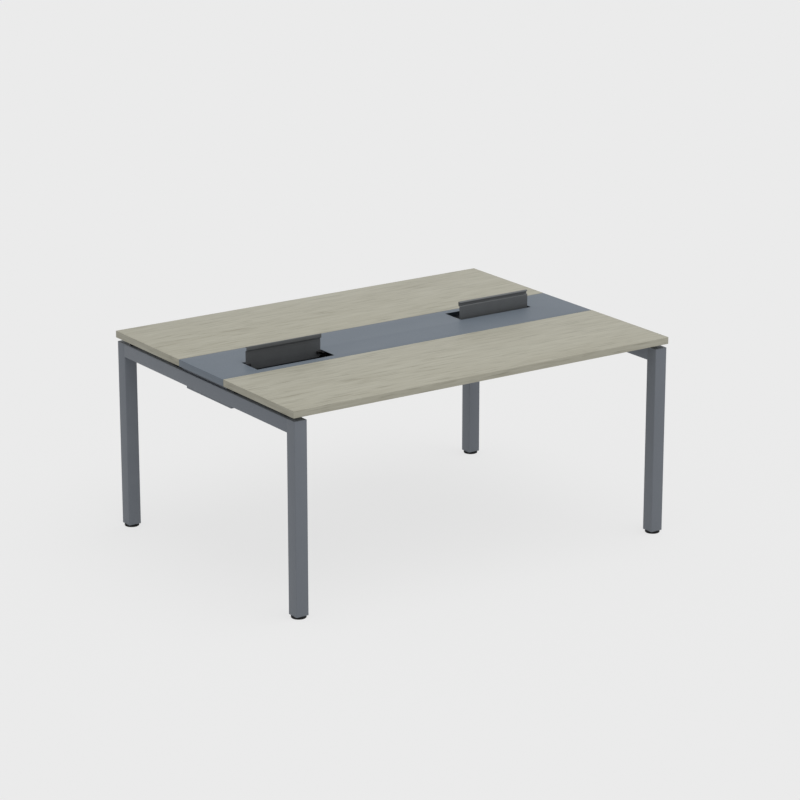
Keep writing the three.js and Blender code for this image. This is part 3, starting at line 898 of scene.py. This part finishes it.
def feet():
    pad = foot_disc()
    stem = foot_thread()
    for corner in CORNERS:
        spot = centre_of(f"foot_pad_{corner}")
        offset = (spot.x, spot.y, 0)
        node = f"foot_pad_{corner}"
        done(copied(pad, f"foot_disc_{corner}", offset), "black_plastic", node, node)
        node = f"foot_stem_{corner}"
        done(copied(stem, f"foot_thread_{corner}", offset), "zinc_plate", node, node)
    bpy.data.objects.remove(pad)
    bpy.data.objects.remove(stem)


def leg_caps():
    cap = block("tube_cap", *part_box(f"leg_cap_{CORNERS[0]}"))
    round_edges(cap, lambda edge: length_along(edge, "z") > TINY, CAP_CORNER)
    soften(cap, CAP_EDGE, CAP_SEGMENTS)
    at_corners(cap, "leg_cap", "powder_coat")


def spacers():
    low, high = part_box(f"spacer_{SPACERS[0]}")
    height = high.z - low.z
    puck = bar("spacer_puck", (high.x - low.x) / 2, height, SPACER_EDGE)
    for name in SPACERS:
        offset = centre_of(f"spacer_{name}") - Vector((0, 0, height / 2))
        done(copied(puck, f"spacer_puck_{name}", offset), "black_plastic", "desk", f"spacer_{name}")
    bpy.data.objects.remove(puck)


# Fasteners

def socket_bolt(name, head_radius, head_height, shank_length):
    """A domed button head with a hexagon socket, head down at the origin and shank up."""
    rings = []
    for step in range(BUTTON_STEPS, -1, -1):
        angle = BUTTON_CROWN * step / BUTTON_STEPS
        depth = head_height * math.sin(angle) / math.sin(BUTTON_CROWN)
        rings.append((head_radius * math.cos(angle), -depth))
    rings += [(BOLT_SHANK, 0), (BOLT_SHANK, shank_length)]
    bolt = turned(name, rings, BOLT_VERTICES)
    bored(bolt, BOLT_SOCKET, -head_height - BOLT_SOCKET_DEPTH, -head_height + BOLT_SOCKET_DEPTH, HEXAGON)
    return bolt


def tray_bolts():
    low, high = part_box(f"tray_bolt_{CORNERS[0]}")
    shank = high.z - low.z - TRAY_BOLT_HEIGHT
    first = socket_bolt("tray_button", (high.x - low.x) / 2, TRAY_BOLT_HEIGHT, shank)
    for corner in CORNERS:
        node = f"tray_bolt_{corner}"
        spot = centre_of(node)
        spot.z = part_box(node)[0].z + TRAY_BOLT_HEIGHT
        done(copied(first, f"tray_button_{corner}", spot), "zinc_plate", "desk", node)
    bpy.data.objects.remove(first)


def worktop_screws():
    """One up through the frame into the worktop at each spacer."""
    first = socket_bolt("worktop_screw", SCREW_HEAD, SCREW_HEIGHT, TUBE_WALL)
    for name in SPACERS:
        spot = centre_of(f"spacer_{name}")
        spot.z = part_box("beam_near" if name.endswith("middle") else "end_rail_left")[0].z
        done(copied(first, f"worktop_screw_{name}", spot), "zinc_plate", "desk")
    bpy.data.objects.remove(first)


def beam_bolts():
    """Two through each end plate into the rail, one on each side of the beam."""
    first = socket_bolt("beam_bolt", PLATE_BOLT_HEAD, SCREW_HEIGHT, TUBE_WALL)
    for side in SIDES:
        for end, sign in ENDS.items():
            low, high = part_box(f"beam_plate_{side}_{end}")
            spot = (low + high) / 2
            spot.x = low.x if sign > 0 else high.x
            for at, shift in (("lower", -PLATE_BOLT_SPREAD), ("upper", PLATE_BOLT_SPREAD)):
                bolt = copied(first, f"beam_bolt_{side}_{end}_{at}", (0, 0, 0))
                done(lay(bolt, sign, spot + Vector((0, shift, 0))), "zinc_plate", "desk")
    bpy.data.objects.remove(first)


for side in SIDES:
    worktop(side)
spine_cover()
cable_flaps()
flap_barrels()
flap_pins()
legs()
for end in ENDS:
    end_frame(end)
for side in SIDES:
    beam(side)
cable_tray()
feet()
leg_caps()
spacers()
tray_bolts()
worktop_screws()
beam_bolts()
for end in ENDS:
    for at in PLACES:
        cad_piece(f"flap_{end}_bracket_{at}", "black_plastic")
for corner in CORNERS:
    cad_piece(f"foot_insert_{corner}", "black_plastic")


# Floor, light and camera

FLOOR_SIZE = 400
BACKGROUND = colour(235, 235, 235)
WHITE = (1, 1, 1, 1)
FLOOR_OWN_SHADE = 0.14
FLOOR_FILL = 0.6
FLOOR_CLEARANCE = 0.0002
SKY_STRENGTH = 0.6
SUN_STRENGTH = 0.42 * math.pi
SUN_ANGLE = math.radians(60)
SUN_FROM = Vector((0.18, -0.28, 1))


def seen_directly(nodes):
    """1 for rays that show the background itself: from the camera, in a reflection or through glass."""
    path = nodes.add("ShaderNodeLightPath")
    seen = nodes.math("MAXIMUM", path.outputs["Is Camera Ray"], path.outputs["Is Glossy Ray"])
    return nodes.math("MAXIMUM", seen, path.outputs["Is Transmission Ray"])


def floor_plane():
    """A pale floor that is mostly even, takes some shadow and is clear from below."""
    start()
    bpy.ops.mesh.primitive_plane_add(size=FLOOR_SIZE, location=(0, 0, -FLOOR_CLEARANCE))
    floor = place("floor")
    paper = bpy.data.materials.new("pale_floor")
    paper.use_nodes = True
    paper.node_tree.nodes.clear()
    nodes = Nodes(paper.node_tree)
    matt = nodes.add("ShaderNodeBsdfDiffuse", {"Color": BACKGROUND}).outputs[0]
    even = nodes.add("ShaderNodeEmission", {"Color": BACKGROUND}).outputs[0]
    clear = nodes.add("ShaderNodeBsdfTransparent").outputs[0]
    even_share = nodes.ramp(seen_directly(nodes), first=FLOOR_FILL, last=1 - FLOOR_OWN_SHADE)
    below = nodes.add("ShaderNodeNewGeometry").outputs["Backfacing"]
    shown = nodes.mix_shaders(below, nodes.mix_shaders(even_share, matt, even), clear)
    nodes.add("ShaderNodeOutputMaterial", {"Surface": shown})
    floor.data.materials.append(paper)


def surroundings():
    world = bpy.data.worlds.new("studio")
    bpy.context.scene.world = world
    world.use_nodes = True
    world.node_tree.nodes.clear()
    nodes = Nodes(world.node_tree)
    light = nodes.add("ShaderNodeBackground", {"Color": WHITE, "Strength": SKY_STRENGTH}).outputs[0]
    backdrop = nodes.add("ShaderNodeBackground", {"Color": BACKGROUND, "Strength": 1.0}).outputs[0]
    shown = nodes.mix_shaders(seen_directly(nodes), light, backdrop)
    nodes.add("ShaderNodeOutputWorld", {"Surface": shown})


def sunlight():
    start()
    bpy.ops.object.light_add(type="SUN", location=SUN_FROM)
    sun = bpy.context.object
    sun.name = "soft_overhead"
    sun.data.energy = SUN_STRENGTH
    sun.data.angle = SUN_ANGLE
    sun.rotation_euler = SUN_FROM.to_track_quat("Z", "Y").to_euler()


def viewpoint():
    back = Vector((
        math.sin(CAMERA_AZIMUTH) * math.cos(CAMERA_ELEVATION),
        -math.cos(CAMERA_AZIMUTH) * math.cos(CAMERA_ELEVATION),
        math.sin(CAMERA_ELEVATION),
    ))
    bpy.ops.object.camera_add(location=CAMERA_TARGET + back * CAMERA_DISTANCE)
    camera = bpy.context.object
    camera.name = "camera"
    camera.rotation_euler = back.to_track_quat("Z", "Y").to_euler()
    camera.data.lens = CAMERA_LENS
    camera.data.sensor_width = CAMERA_SENSOR
    camera.data.clip_end = FLOOR_SIZE
    bpy.context.scene.camera = camera
    bpy.context.scene.view_settings.view_transform = "Standard"


floor_plane()
surroundings()
sunlight()
viewpoint()
